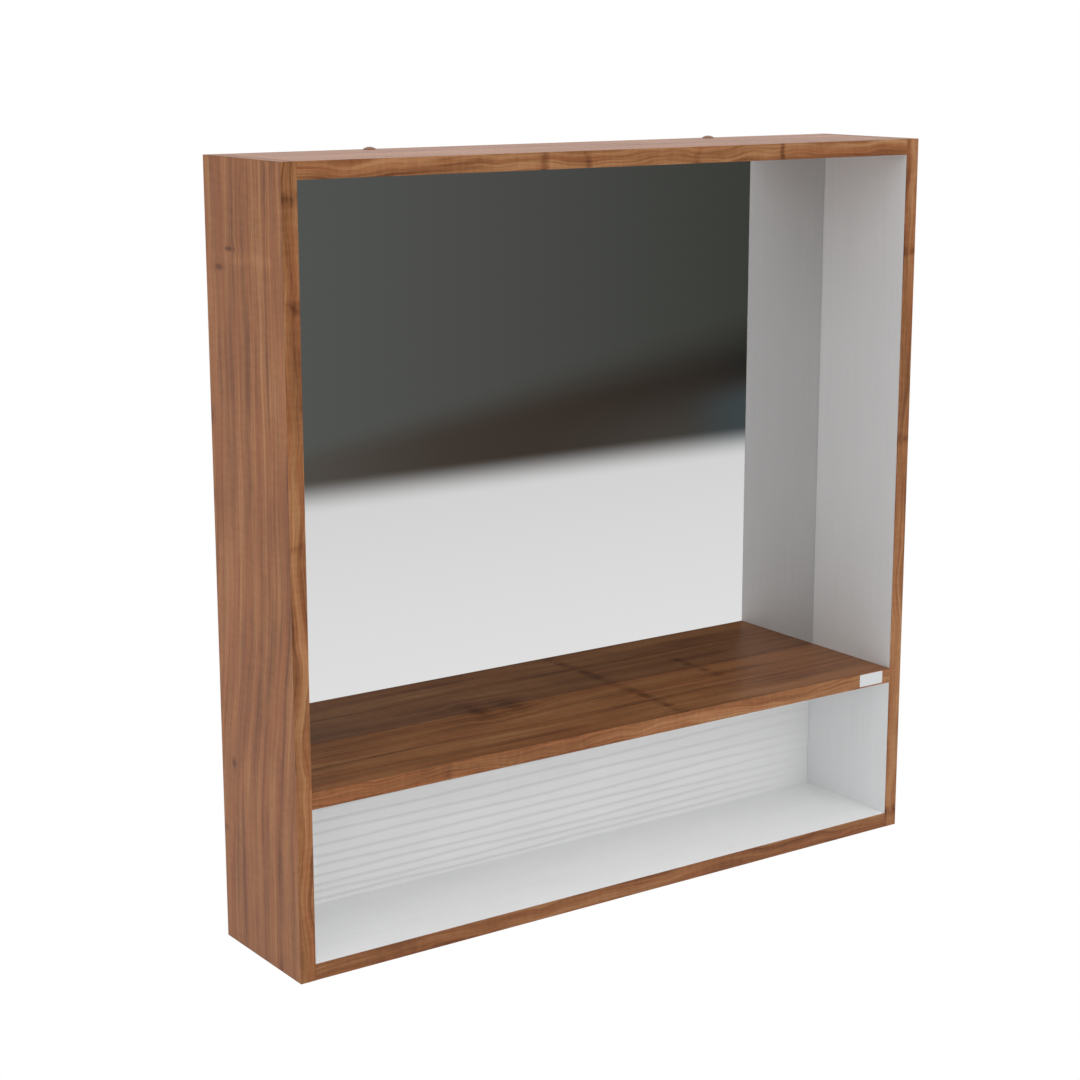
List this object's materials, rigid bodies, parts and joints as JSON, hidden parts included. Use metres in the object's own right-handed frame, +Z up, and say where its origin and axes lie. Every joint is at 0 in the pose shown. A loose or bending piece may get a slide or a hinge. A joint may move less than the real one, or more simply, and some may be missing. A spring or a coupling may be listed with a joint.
{
  "type": "mirror cabinet",
  "caption": "Square open mirror cabinet for a wall: walnut boards with a white inside, a fixed shelf below the mirror, an open niche under it, and keyhole hangers.",
  "frame": {"origin": "middle of the underside, in the plane that the cabinet can stand on", "axes": "+Z up, the open front faces -Y and the wall side faces +Y, +X to the right as seen from the front"},
  "size_m": [0.6, 0.1158, 0.602],
  "materials": {
    "walnut_laminate": "walnut pattern laminate, semi-gloss",
    "walnut_band": "walnut pattern edge band, semi-gloss",
    "white_laminate": "white laminate, embossed wood grain",
    "board_core": "raw fibreboard",
    "mirror": "polished",
    "foam_tape": "matt",
    "dowel_wood": "turned",
    "zinc": "die cast",
    "plated_steel": "zinc plated",
    "cap_plastic": "satin"
  },
  "bodies": {
    "root": {"back_board_core": "board_core", "back_board_front_laminate": "white_laminate", "back_board_rear_laminate": "white_laminate", "back_board_screws": "plated_steel", "bottom_board_core": "board_core", "bottom_board_front_band": "walnut_band", "bottom_board_under_laminate": "walnut_laminate", "bottom_board_upper_laminate": "white_laminate", "cam_bolts": "plated_steel", "cam_locks": "zinc", "dowels": "dowel_wood", "hanger_plates": "plated_steel", "hanger_screws": "plated_steel", "left_side_core": "board_core", "left_side_end_bands": "walnut_band", "left_side_front_band": "walnut_band", "left_side_inner_laminate": "white_laminate", "left_side_outer_laminate": "walnut_laminate", "mirror_pane": "mirror", "mirror_tape": "foam_tape", "right_side_core": "board_core", "right_side_end_bands": "walnut_band", "right_side_front_band": "walnut_band", "right_side_inner_laminate": "white_laminate", "right_side_outer_laminate": "walnut_laminate", "screw_caps": "cap_plastic", "shelf_core": "board_core", "shelf_front_band": "walnut_band", "shelf_under_laminate": "white_laminate", "shelf_upper_laminate": "walnut_laminate", "top_board_core": "board_core", "top_board_front_band": "walnut_band", "top_board_under_laminate": "walnut_laminate", "top_board_upper_laminate": "walnut_laminate"}
  },
  "joints": []
}
